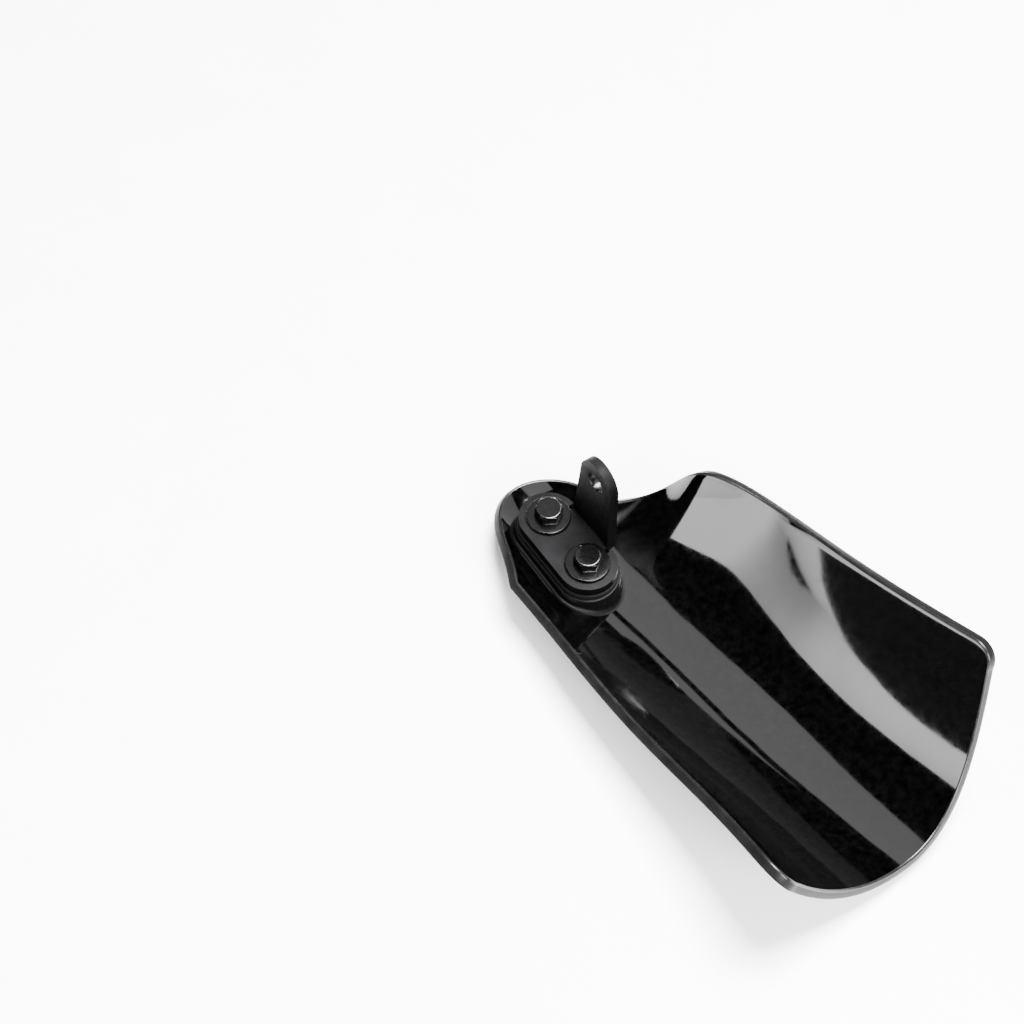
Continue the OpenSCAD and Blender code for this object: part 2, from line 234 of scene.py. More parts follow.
def glossMoulding():
    # black moulding polished in the tool: deep, with faint waves where the plastic shrank
    material, tree, where = newMaterial("gloss black moulded plastic", IOR=1.5, Specular_IOR_Level=0.55)
    waves = addNode(tree, noise, {"Vector": where, "Scale": 1 / 26, "Detail": 1.5})
    haze = addNode(tree, noise, {"Vector": where, "Scale": 1 / 3, "Detail": 4, "Roughness": 0.6})
    finish(tree, shade(tree, haze, "#000000", "#020202"), (haze, 0.05, 0.09), (waves, 0.35, 0.5))
    return material


def satinMoulding():
    # the land is left as the mould made it: duller than the polished scoop
    material, tree, where = newMaterial("satin black moulded plastic", IOR=1.2, Specular_IOR_Level=0.3)
    fine = addNode(tree, noise, {"Vector": where, "Scale": 1 / 0.6, "Detail": 4, "Roughness": 0.6})
    finish(tree, shade(tree, fine, "#010101", "#030303"), (fine, 0.38, 0.5), (fine, 0.03, 0.4))
    return material


def trimmedEdge():
    # the rim is cut after moulding: satin, greyer, with fine marks along it
    material, tree, where = newMaterial("satin trimmed plastic edge", IOR=1.14)
    fine = addNode(tree, noise, {"Vector": where, "Scale": 1 / 0.5, "Detail": 4, "Roughness": 0.6})
    patches = addNode(tree, noise, {"Vector": where, "Scale": 1 / 9, "Detail": 2})
    finish(tree, shade(tree, patches, "#070707", "#0d0d0e"), (fine, 0.3, 0.42), (fine, 0.03, 0.5))
    return material


def crispEdge():
    # the fine round along the rim's inner edge, which keeps the gloss and always finds a light
    material, tree, where = newMaterial("polished plastic rim edge", IOR=1.3)
    worn = addNode(tree, noise, {"Vector": where, "Scale": 1 / 4, "Detail": 3})
    finish(tree, shade(tree, worn, "#0a0a0a", "#101010"), (worn, 0.2, 0.3))
    return material


def coatedSteel():
    # fine-textured black coat on steel plate: dark on its sides, and painted lighter grey where it faces
    # up, a painted top light standing in for light from above
    material, tree, where = newMaterial("fine-textured black coated steel", IOR=1.08)
    fine = addNode(tree, noise, {"Vector": where, "Scale": 1 / 0.35, "Detail": 3, "Roughness": 0.6})
    cloud = addNode(tree, noise, {"Vector": where, "Scale": 1 / 6, "Detail": 3})
    facing = addNode(tree, "ShaderNodeNewGeometry", output="Normal")
    upward = addNode(tree, "ShaderNodeSeparateXYZ", {0: facing}, output="Z")
    # the mask of the painted top light: faces turned up are painted in the lighter shades
    paintedTopLight = addNode(tree, "ShaderNodeMapRange", {"Value": upward, "From Min": 0.3, "From Max": 0.95})
    shades = {"Fac": paintedTopLight, "Color1": shade(tree, cloud, "#020202", "#040404"),
              "Color2": shade(tree, cloud, "#0b0b0b", "#101011")}
    finish(tree, addNode(tree, "ShaderNodeMixRGB", shades), (fine, 0.36, 0.48), (fine, 0.06, 0.8))
    return material


def rubbedCoat():
    # the coat where it has rubbed bright along an edge
    material, tree, where = newMaterial("rubbed coat on a steel edge", Metallic=0.6)
    worn = addNode(tree, noise, {"Vector": where, "Scale": 1 / 1.6, "Detail": 4, "Roughness": 0.6})
    colour = shade(tree, worn, "#1a1a1b", "#3a3a3c", {"From Min": 0.35, "From Max": 0.65})
    finish(tree, colour, (worn, 0.28, 0.4))
    return material


def blackOxide(centre):
    # blackened steel, polished by handling, with the lathe's rings about its bolt still in it
    back = landTurn.inverted()
    place = back @ Vector(toRow(fromLand([[centre, 0, 0]]))[0])
    material, tree, where = newMaterial("polished black oxide steel", -place / mm, back.to_euler("XYZ"),
                                        Metallic=0.85)
    flat = addNode(tree, "ShaderNodeVectorMath", {0: where, 1: (1, 1, 0)}, operation="MULTIPLY")
    latheStep = 0.2856  # millimetres; the node draws 20 radians of wave to a unit
    inputs = {"Vector": flat, "Scale": math.tau / 20 / latheStep, "Distortion": 0.6, "Detail": 2,
              "Detail Scale": 2}
    rings = addNode(tree, "ShaderNodeTexWave", inputs, output="Fac", wave_type="RINGS", rings_direction="Z")
    stains = addNode(tree, noise, {"Vector": where, "Scale": 1 / 2.2, "Detail": 4, "Roughness": 0.6})
    finish(tree, shade(tree, stains, "#151515", "#1b1b1b"), (stains, 0.1, 0.13), (rings, 0.01, 0.12))
    return material


def wornEdge(name, dull, clear):
    # the oxide worn through on an edge; the wide edges of the washers have kept more of it
    material, tree, where = newMaterial(name, Metallic=1.0)
    worn = addNode(tree, noise, {"Vector": where, "Scale": 1 / 2.5, "Detail": 3})
    finish(tree, shade(tree, worn, dull, clear), (worn, 0.2, 0.32))
    return material


def mattRubber():
    # sheet rubber, cut to shape: dull and a little coarse
    material, tree, where = newMaterial("matt black rubber sheet", IOR=1.2, Specular_IOR_Level=0.35)
    fine = addNode(tree, noise, {"Vector": where, "Scale": 1 / 0.5, "Detail": 4, "Roughness": 0.6})
    finish(tree, shade(tree, fine, "#030303", "#080808"), (fine, 0.65, 0.85), (fine, 0.08, 0.6))
    return material


def turnedBrass():
    # turned brass, dulled
    material, tree, where = newMaterial("turned brass", Metallic=1.0)
    dull = addNode(tree, noise, {"Vector": where, "Scale": 1 / 1.5, "Detail": 3})
    finish(tree, shade(tree, dull, "#8a6a34", "#b08d57"), (dull, 0.25, 0.4))
    return material


gloss, satin, trimmed, crisp = glossMoulding(), satinMoulding(), trimmedEdge(), crispEdge()
coat, rubbed = coatedSteel(), rubbedCoat()
bright = wornEdge("bright worn steel edge", "#333333", "#3e3e3e")
dimmed = wornEdge("dulled worn steel edge", "#161616", "#202020")
rubber, brass = mattRubber(), turnedBrass()
print("materials made")

# the scoop and its land, one moulding
scoop = {
    "noseTip": 24.5, "noseCentre": 4.0, "cornerX": 16.8, "mouthX": 196.0,
    "nearSweep": 7.0, "farSweep": 21.5, "nearCorner": 14.5, "farCorner": 10.5,
    "nearPlan": [(16.8, 35.9), (26, 37.1), (58, 42.5), (102, 48), (152, 54), (196, 63)],
    "farPlan": [(4, 22.5), (16, 37.5), (28, 43), (40, 46.5), (58, 51.5), (102, 51.5), (196, 56.5)],
    "nearRim": [(16.8, 19), (26, 19.1), (58, 23), (102, 28.5), (152, 42), (196, 56.5)],
    "farRim": [(4, 11.5), (16, 17), (28, 34.5), (40, 40.5), (58, 40.5), (102, 49), (196, 69)],
    "tipHigh": 11.5, "wall": 4.0, "keelRadius": 42.0, "keelNose": 2.5, "keelSide": 7.0,
    "nearDraw": 0.33, "noseRiseX": 60.0, "noseRise": 7.0, "mouthRiseX": 112.0, "mouthRise": 6.5,
    "innerRound": 0.9, "outerRound": 0.6, "drawBack": 10.0,  # the rim's two edges, and how far they act
    "noseRows": 44, "bodyRows": 120, "columns": 104, "roundSteps": 4,
}


def spline(knots, flat):
    # natural cubic through knots, flat at the first one if asked
    x, y = np.array(knots, float).T
    h = np.diff(x)
    a, b = np.eye(len(x)), np.zeros(len(x))
    if flat:
        a[0, :2], b[0] = (2 * h[0], h[0]), 6 * (y[1] - y[0]) / h[0]
    for i in range(1, len(x) - 1):
        a[i, i - 1:i + 2] = h[i - 1], 2 * (h[i - 1] + h[i]), h[i]
        b[i] = 6 * ((y[i + 1] - y[i]) / h[i] - (y[i] - y[i - 1]) / h[i - 1])
    m = np.linalg.solve(a, b)

    def value(at):
        at = np.maximum(at, x[0])
        i = np.clip(np.searchsorted(x, at) - 1, 0, len(x) - 2)
        p, q, g = x[i + 1] - at, at - x[i], h[i]
        bend = (m[i] * p**3 + m[i + 1] * q**3) / (6 * g)
        return bend + (y[i] / g - m[i] * g / 6) * p + (y[i + 1] / g - m[i + 1] * g / 6) * q
    return value


nearPlan, farPlan = spline(scoop["nearPlan"], False), spline(scoop["farPlan"], True)
nearRim, farRim = spline(scoop["nearRim"], False), spline(scoop["farRim"], True)


def aheadOf(x, start):
    # 0 at start and behind it, 1 at the tip of the nose
    return np.clip((start - x) / (start + scoop["noseTip"]), 0, 1)


def nearDraw(x):
    # draws the near rim in between tip and corner, which sharpens the corner
    a = aheadOf(x, scoop["cornerX"])
    return 1 - scoop["nearDraw"] * a * (1 - a)


def halfWidth(x, far):
    return np.where(far, farPlan(x) * np.sqrt(1 - aheadOf(x, scoop["noseCentre"]) ** 2),
                    nearPlan(x) * np.sqrt(1 - aheadOf(x, scoop["cornerX"])) * nearDraw(x))


def rimHeight(x, far):
    a = np.where(far, aheadOf(x, scoop["noseCentre"]), aheadOf(x, scoop["cornerX"]))
    z = np.where(far, farRim(x), nearRim(x))
    return z + (scoop["tipHigh"] - z) * np.where(far, a * a, a * a * (3 - 2 * a))


def keelY(x):
    return scoop["keelSide"] + (scoop["keelNose"] - scoop["keelSide"]) * aheadOf(x, scoop["noseRiseX"]) ** 2


def keelZ(x):
    over = np.maximum(0, (x - scoop["mouthRiseX"]) / (scoop["mouthX"] - scoop["mouthRiseX"]))
    return scoop["noseRise"] * aheadOf(x, scoop["noseRiseX"]) ** 2 + scoop["mouthRise"] * over**2


def section(x, far, q):
    # height of the inner surface, with q from 0 at the keel to 1 at the rim
    w, z, low = halfWidth(x, far), rimHeight(x, far), keelZ(x)
    bow, q = w * w / (2 * scoop["keelRadius"]), np.abs(q)
    a = aheadOf(x, scoop["noseCentre"])
    h = low + bow * q * q + (z - low - bow) * q ** (4 - 2 * a)
    return h + (scoop["tipHigh"] - h) * a**4


def innerPlace(x, far, q):
    return np.stack([x, keelY(x) + np.where(far, q, -q) * halfWidth(x, far), section(x, far, q)], -1)


def inward(x, far, q):
    # unit vector into the scoop, square to its inner surface
    step, tipX = 0.05, -scoop["noseTip"]
    tip = x < tipX + step
    fromKeel = np.where(tip, 0, q)
    along = innerPlace(x + step, far, fromKeel) - innerPlace(np.maximum(x - step, tipX), far, fromKeel)
    small = np.full_like(q, step)
    atKeel = innerPlace(x, np.ones_like(far), small) - innerPlace(x, np.zeros_like(far), small)
    side = np.where(far, 1.0, -1.0)[..., None]
    onSide = side * (innerPlace(x, far, q + step) - innerPlace(x, far, q - step))
    across = np.where((q < step)[..., None], atKeel, onSide)
    across = np.where(tip[..., None], np.array([0, 1.0, 0]), across)
    n = np.cross(along, across)
    return n / np.linalg.norm(n, axis=-1)[..., None]


def mouthAt(v):
    # where the mouth's edge lies, with v from -1 at the near rim to 1 at the far one
    return scoop["mouthX"] - np.where(v < 0, scoop["nearSweep"], scoop["farSweep"]) * v * v


def cornerCut(x, v):
    # share of the half width that the mouth's rounded corners take off
    r = np.where(v < 0, scoop["nearCorner"], scoop["farCorner"])
    over = np.clip((x - mouthAt(v) + r) / r, 0, 1)
    far = v >= 0
    leastWidth = 5
    w = np.maximum(halfWidth(x, far), leastWidth)
    bow = w * w / (2 * scoop["keelRadius"])
    steep = np.sqrt(1 + ((2 * bow + 4 * (rimHeight(x, far) - keelZ(x) - bow)) / w) ** 2)
    return r * (1 - np.sqrt(1 - over * over)) / (w * steep)


def floorAt(x, y):
    d = y - keelY(x)
    far = d >= 0
    return section(x, far, np.minimum(1, np.abs(d) / np.maximum(halfWidth(x, far), 0.1)))


def scoopWall():
    # rows crowd at the tip and at the mouth, where the outline turns
    nose, body, columns = scoop["noseRows"], scoop["bodyRows"], scoop["columns"]
    line = np.linspace(-1, 1, columns + 1)
    tip, corner = -scoop["noseTip"], scoop["cornerX"]
    early = [np.full_like(line, tip + (corner - tip) * (1 - math.cos(math.pi / 2 * i / nose)))
             for i in range(nose + 1)]
    late = [corner + (mouthAt(line) - corner) * math.sin(math.pi / 2 * i / body)
            for i in range(1, body + 1)]
    x = np.array(early + late)
    v = np.broadcast_to(line, x.shape)
    far, count = v >= 0, nose + body
    q = np.abs(v) * (1 - cornerCut(x, v))
    sharp = innerPlace(x, far, q)
    facing = inward(x, far, q)

    # the loop of the rim: near edge to the mouth, across it, back along the far edge to the tip
    loop = [(i, 0) for i in range(count + 1)] + [(count, j) for j in range(1, columns + 1)]
    loop += [(i, columns) for i in range(count - 1, 0, -1)]
    at = tuple(np.array(loop).T)
    edge, lift = sharp[at], facing[at]
    out = np.cross(np.roll(edge, -1, 0) - np.roll(edge, 1, 0), lift)
    out /= np.linalg.norm(out, axis=1)[:, None]

    # both surfaces draw back from the rim by the radius of its round edge, and stay on their form
    away = np.linalg.norm(sharp.reshape(-1, 3)[:, None, :] - edge[None, :, :], axis=2)
    softening = 0.1  # keeps a point on the rim itself from dividing by nothing
    weight = 1 / (away**2 + softening) ** 2
    pull = (weight @ out) / weight.sum(1)[:, None]
    fade = np.clip(1 - away.min(1) / scoop["drawBack"], 0, 1)
    pull = (pull * (fade * fade * (3 - 2 * fade))[:, None]).reshape(sharp.shape)

    def drawn(radius):
        px, py = x - pull[..., 0] * radius, sharp[..., 1] - pull[..., 1] * radius
        fromKeel = np.maximum(0, np.where(far, py - keelY(px), keelY(px) - py))
        pq = np.minimum(1, fromKeel / np.maximum(halfWidth(px, far), 0.05))
        return innerPlace(px, far, pq), inward(px, far, pq)
    inner = drawn(scoop["innerRound"])[0]
    under, underFacing = drawn(scoop["outerRound"])
    outer = under - scoop["wall"] * underFacing

    steps, rings, underEdge = scoop["roundSteps"], [], edge - scoop["wall"] * lift
    for radius, base, sign, order in ((scoop["innerRound"], edge, -1, range(steps + 1)),
                                      (scoop["outerRound"], underEdge, 1, range(steps, -1, -1))):
        for s in order:
            a = math.pi / 2 * s / steps
            rings.append(base - out * radius * (1 - math.sin(a)) + sign * lift * radius * (1 - math.cos(a)))

    def number(i, j):
        return 0 if i == 0 else 1 + (i - 1) * (columns + 1) + j
    half = 1 + count * (columns + 1)
    # the first row of either surface is one point, the tip
    points = np.concatenate([rows for surface in (inner, outer)
                             for rows in (surface[0, :1], surface[1:].reshape(-1, 3))])
    faces = []
    for i in range(count):
        for j in range(columns):
            f = [number(i, j), number(i + 1, j), number(i + 1, j + 1), number(i, j + 1)]
            f = f[:3] if i == 0 else f
            faces += [f, [k + half for k in f[::-1]]]
    kinds = [0] * len(faces)
    before = [number(i, j) for i, j in loop]
    last = [k + half for k in before]
    for row, ring in enumerate(rings[1:-1]):  # the first and the last are the surfaces' own edges
        after = list(range(len(points), len(points) + len(loop)))
        points = np.concatenate([points, ring])
        faces += flipped(stripFaces(before, after))
        kinds += [2 if row < steps else 1] * (len(faces) - len(kinds))
        before = after
    faces += flipped(stripFaces(before, last))
    return points, faces, kinds + [1] * (len(faces) - len(kinds))


land = {
    "padRadius": 12.6, "margin": 0.8, "fillet": 2.0, "round": 0.5, "pocket": 4.25, "depth": 8.4,
    "toe": (0.4, 0.3),  # how far the fillet's foot runs on, and how deep, under the scoop's floor
    "sunk": 2.0, "steps": 48, "roundSteps": 4, "filletSteps": 8,
}


def stadium(radius, steps):
    left = circle(0, 0, radius, steps + 1, 90, 270, True)
    right = circle(boltPlaces[1], 0, radius, steps + 1, -90, 90, True)
    return np.concatenate([left, right])


def landMesh():
    # flat stadium over the nose, its foot filleted into the floor, with the pockets of the inserts
    radius, steps = land["padRadius"] + land["margin"], land["steps"]
    soft, fillet, rows = land["round"], land["fillet"], []
    for a in np.linspace(0, math.pi / 2, land["roundSteps"] + 1):
        ring = stadium(radius - soft * (1 - math.sin(a)), steps)
        rows.append(fromLand(atHeight(ring, -soft * (1 - math.cos(a)))))
    spots = [(fillet * (1 - math.cos(a)), fillet * (1 - math.sin(a)))
             for a in np.linspace(0, math.pi / 2, land["filletSteps"] + 1)]
    toe, depth = land["toe"]
    spots.append((fillet + toe, -depth))
    # the rest is hidden in the wall
    spots += [(more, -land["sunk"]) for more in (fillet, -0.4 * radius, -0.8 * radius)]
    nearFloor = -1.0  # the tilted outlines are set out at this height, then moved straight down
    for more, rise in spots:
        place = fromLand(atHeight(stadium(radius + more, steps), nearFloor))
        place[:, 2] = floorAt(place[:, 0], place[:, 1]) + rise
        rows.append(place)
    size = len(rows[0])
    points = np.concatenate(rows)
    numbers = [list(range(k * size, (k + 1) * size)) for k in range(len(rows))]
    faces = []
    for upper, lower in zip(numbers, numbers[1:]):
        faces += flipped(stripFaces(upper, lower))
    faces.append(numbers[-1][::-1])
    outlines, topNumbers = [stadium(radius - soft, steps)], numbers[0]
    for place in boltPlaces:
        hole = circle(place, 0, land["pocket"], 48)
        top, bottom = (list(range(n, n + len(hole))) for n in (len(points), len(points) + len(hole)))
        wall = np.concatenate([atHeight(hole, 0), atHeight(hole, -land["depth"])])
        points = np.concatenate([points, fromLand(wall)])
        faces += stripFaces(top, bottom)
        faces.append(bottom)
        outlines.append(hole[::-1])
        topNumbers = topNumbers + top[::-1]
    return points, faces + filled(points, topNumbers, outlines, True)


wallPoints, wallFaces, wallKinds = scoopWall()
landPoints, landFaces = landMesh()
shell = makePiece("scoop", toRow(np.concatenate([wallPoints, landPoints])),
                  wallFaces + [[i + len(wallPoints) for i in f] for f in landFaces],
                  [gloss, trimmed, crisp, satin], wallKinds + [3] * len(landFaces), smooth=50)
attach(shell, "root")
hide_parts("shell")
print("scoop made", len(shell.data.polygons))


def stackPiece(name, points, faces, materials, nodeName, kinds=None):
    # a piece drawn on the land's flat, which stands for its node
    piece = makePiece(name, toRow(fromLand(points)), faces, materials, kinds)
    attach(piece, "root")
    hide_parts(nodeName)


# threaded inserts, seated in the land
insert = {
    "radius": land["pocket"], "length": 8.0, "bore": 3.05, "chamfer": 0.2, "leadIn": 0.4,
    "grooveStarts": (0.2, 0.5),  # shares of the length
    "grooveShape": ((0, 0), (0.05, 0.4), (0.15, 0.4), (0.2, 0)),  # share of the length, depth
}
for place, nodeName in zip(boltPlaces, ("nose_insert", "inner_insert")):
    r, l, b, g, c = (insert[key] for key in ("radius", "length", "bore", "leadIn", "chamfer"))
    outline = [(b + g, 0), (r - c, 0), (r, -c)]
    for start in insert["grooveStarts"]:
        outline += [(r - deep, -(start + share) * l) for share, deep in insert["grooveShape"]]
    outline += [(r, -l + c), (r - c, -l), (b, -l), (b, -g)]
    points, faces = lathe(outline[::-1], 64)
    stackPiece(nodeName.replace("_i", "I"), points + [place, 0, 0], faces, [brass], nodeName)
print("inserts made")

# spacer pad under the bracket's foot
pad = {"thick": 2.5, "round": 0.35}
points, faces = plate(stadium(land["padRadius"], 48), [circle(x, 0, boltHole, 48) for x in boltPlaces],
                      0, pad["thick"], pad["round"])
stackPiece("spacerPad", points, faces, [rubber], "spacer_pad")
print("pad made")

# bracket: foot, bend and tab of one plate
steel = {
    "foot": 12.0, "thick": 4.0, "bendInside": 1.5, "tabY": 10.7, "tabStart": 2.0, "tabEnd": 25.0,
    "notch": 2.0, "tabRound": 9.8, "holeX": 15.2, "holeHigh": 32.5, "hole": 4.5, "bevel": 0.4,
    "bendSteps": 12,
}


def prism(outline, holes, low, high):
    return plate(outline, holes, low, high, 1e-4, 1)


def united(name, solids, materials, bevel):
    # joins closed solids into one and eases its edges, which take the last material; clamping holds
    # the easing back to a hairline, so the edges look crisp
    weld, flatWithin, sharpFrom = 0.002, math.radians(0.5), math.radians(35)
    parts = [makePiece(name + str(k), p, f, materials, smooth=None) for k, (p, f) in enumerate(solids)]
    base = parts[0]
    for other in parts[1:]:
        join = base.modifiers.new("join", "BOOLEAN")
        join.operation, join.solver, join.object = "UNION", "EXACT", other
    made = bpy.data.meshes.new_from_object(base.evaluated_get(bpy.context.evaluated_depsgraph_get()))
    work = bmesh.new()
    work.from_mesh(made)
    bmesh.ops.remove_doubles(work, verts=work.verts, dist=weld)
    bmesh.ops.dissolve_limit(work, angle_limit=flatWithin, verts=work.verts, edges=work.edges)
    edges = [e for e in work.edges if e.is_manifold and e.calc_face_angle(0) > sharpFrom]
    bmesh.ops.bevel(work, geom=edges, offset=bevel, segments=3, profile=0.5, affect="EDGES",
                    clamp_overlap=True, material=len(materials) - 1)
    bmesh.ops.triangulate(work, faces=[f for f in work.faces if len(f.verts) > 4])
    points = np.array([v.co for v in work.verts])
    faces = [[v.index for v in f.verts] for f in work.faces]
    kinds = [f.material_index for f in work.faces]
    work.free()
    for part in parts:
        bpy.data.objects.remove(part)
    return points, faces, kinds


def bracketMesh():
    t, r, y = steel["thick"], steel["bendInside"], steel["tabY"]
    start, end, cut = steel["tabStart"], steel["tabEnd"], y - r
    corners = [(end + steel["notch"], cut), (start - steel["notch"], cut)]
    foot = np.concatenate([stadium(steel["foot"], 60), corners])
    solids = [prism(foot, [circle(x, 0, boltHole, 48) for x in boltPlaces], 0, t)]

    quarter = np.linspace(0, math.pi / 2, steel["bendSteps"] + 1)
    arc = [(cut + q * math.sin(a), t + r - q * math.cos(a))
           for q, turns in ((r + t, quarter), (r, quarter[::-1])) for a in turns]
    count = len(arc)
    ends = [list(range(count)), list(range(count, 2 * count))]
    bend = np.array([(x, p[0], p[1]) for x in (start, end) for p in arc])
    solids.append((bend, [ends[0][::-1], ends[1]] + stripFaces(*ends)))

    # the tab's top is an arc about its hole, which a straight edge meets on the left
    lean = Vector((steel["holeX"] - start, steel["holeHigh"]))
    touch = math.degrees(math.atan2(lean.y, lean.x) + math.asin(steel["tabRound"] / lean.length)) + 90
    top = circle(steel["holeX"], steel["holeHigh"], steel["tabRound"], 60, 0, touch, True)
    hole = circle(steel["holeX"], steel["holeHigh"], steel["hole"], 64)
    flat, tabFaces = prism(np.concatenate([[(start, r), (end, r)], top]), [hole], 0, t)
    solids.append((np.stack([flat[:, 0], y + t - flat[:, 2], t + flat[:, 1]], 1), tabFaces))

    points, faces, kinds = united("bracketPart", solids, [coat, rubbed], steel["bevel"])
    for k, f in enumerate(faces):
        away = [math.hypot(points[i][0] - steel["holeX"], points[i][2] - t - steel["holeHigh"]) for i in f]
        if max(away) < steel["hole"] + 0.1 and min(points[i][1] for i in f) > y - 1:
            kinds[k] = 2  # the bore, cut after coating
    return points, faces, kinds


points, faces, kinds = bracketMesh()
stackPiece("bracket", points + [0, 0, pad["thick"]], faces, [coat, rubbed, bright], "bracket",
           kinds)
print("bracket made", len(faces))

# washers, on the foot
washer = {
    "radius": 9.0, "thick": 1.6, "low": pad["thick"] + steel["thick"], "round": 0.35, "roundSteps": 4,
    "chamfer": 0.2,
}


def washerOutline():
    # a ring's section with rounded outer corners and small chamfers in the bore
    low, high, c = washer["low"], washer["low"] + washer["thick"], washer["chamfer"]
    quarter = np.linspace(0, math.pi / 2, washer["roundSteps"] + 1)
    spots = [(boltHole, low + c), (boltHole + c, low)]
    for z, turns, side in ((low, quarter, 1), (high, quarter[::-1], -1)):
        for a in turns:
            spots.append((washer["radius"] - washer["round"] * (1 - math.sin(a)),
                          z + side * washer["round"] * (1 - math.cos(a))))
    return spots + [(boltHole + c, high), (boltHole, high - c)]


for place, nodeName in zip(boltPlaces, ("nose_washer", "inner_washer")):
    points, faces = lathe(washerOutline(), 128)
    radii = np.linalg.norm(points[:, :2], axis=1)
    wornFrom = washer["radius"] - washer["round"] - 0.01
    kinds = [1 if min(radii[i] for i in f) > wornFrom else 0 for f in faces]
    stackPiece(nodeName.replace("_w", "W"), points + [place, 0, 0], faces, [blackOxide(place), dimmed],
               nodeName, kinds)
print("washers made")

# hexagon bolts, on the washers
bolt = {
    "across": 10.0, "high": 4.8, "under": washer["low"] + washer["thick"], "shank": 3.0, "length": 16.0,
    "cornerRound": 0.35, "threadTop": 3.2, "pitch": 0.9, "threadDeep": 0.28, "turns": 13,
}


def hexOutline(half, radius, steps=6):
    # hexagon with rounded corners, the flats sampled too so that the chamfer's arcs show
    spots = []
    reach = (half - radius) / math.cos(math.radians(30))  # from the middle to a rounding's centre
    for k in range(6):
        start, end = math.radians(60 * k), math.radians(60 * (k + 1))
        middleX, middleY = reach * math.cos(start), reach * math.sin(start)
        nextX, nextY = reach * math.cos(end), reach * math.sin(end)
        outX, outY = (radius * f(start + math.radians(30)) for f in (math.cos, math.sin))
        spots += [(middleX + radius * math.cos(start + a), middleY + radius * math.sin(start + a))
                  for a in np.radians(np.linspace(-30, 30, steps))]
        spots += [(middleX + (nextX - middleX) * s + outX, middleY + (nextY - middleY) * s + outY)
                  for s in np.linspace(0, 1, 12)[1:-1]]
    return np.array(spots)


def boltMesh():
    half, high, shank, length = bolt["across"] / 2, bolt["high"], bolt["shank"], bolt["length"]
    rim = hexOutline(half, bolt["cornerRound"])
    far = np.linalg.norm(rim, axis=1)
    away = rim / far[:, None]
    # the flat crown and its round down to the chamfer, each a radius and a height
    crown = [(half * 0.6, high), (half - 0.35, high), (half - 0.12, high - 0.03), (half - 0.02, high - 0.1)]
    slope = np.minimum(high - (far - half) * math.tan(math.radians(30)), high - 0.12)  # the chamfer's arcs
    rows = [atHeight(away * r, z) for r, z in crown]
    rows.append(atHeight(away * (far - 0.15)[:, None], slope + 0.03))
    rows.append(atHeight(rim, slope - 0.12))
    rows.append(atHeight(rim, 0.3))
    rows.append(atHeight(away * (far - 0.2)[:, None], 0))
    neck = [(shank + 0.4, 0.0), (shank, -0.3)]
    for k in range(bolt["turns"]):
        z = -bolt["threadTop"] - k * bolt["pitch"]
        neck += [(shank, z), (shank - bolt["threadDeep"], z - bolt["pitch"] / 2)]
    neck += [(shank - 0.1, -length + 0.6), (shank - 0.6, -length)]
    rows += [atHeight(away * r, z) for r, z in neck]
    size = len(rim)
    points = np.concatenate([[[0, 0, high]], *rows, [[0, 0, -length]]])
    numbers = [range(1 + k * size, 1 + (k + 1) * size) for k in range(len(rows))]
    faces = [[0, 1 + k, 1 + (k + 1) % size] for k in range(size)]
    for upper, lower in zip(numbers, numbers[1:]):
        faces += flipped(stripFaces(upper, lower))
    last = numbers[-1]
    faces += [[last[(k + 1) % size], last[k], len(points) - 1] for k in range(size)]
    wornFirst, wornLast = numbers[1][0], numbers[3][-1]  # the round at the crown's edge
    return points, faces, [1 if wornFirst <= min(f) and max(f) <= wornLast else 0 for f in faces]


# grooves in the inner bolt's head, cut by one bar turned about the middle
marks = {"Count": 6, "Inner": 1.1, "Length": 2.6, "Width": 0.4, "High": 0.6, "Turn": math.radians(15)}


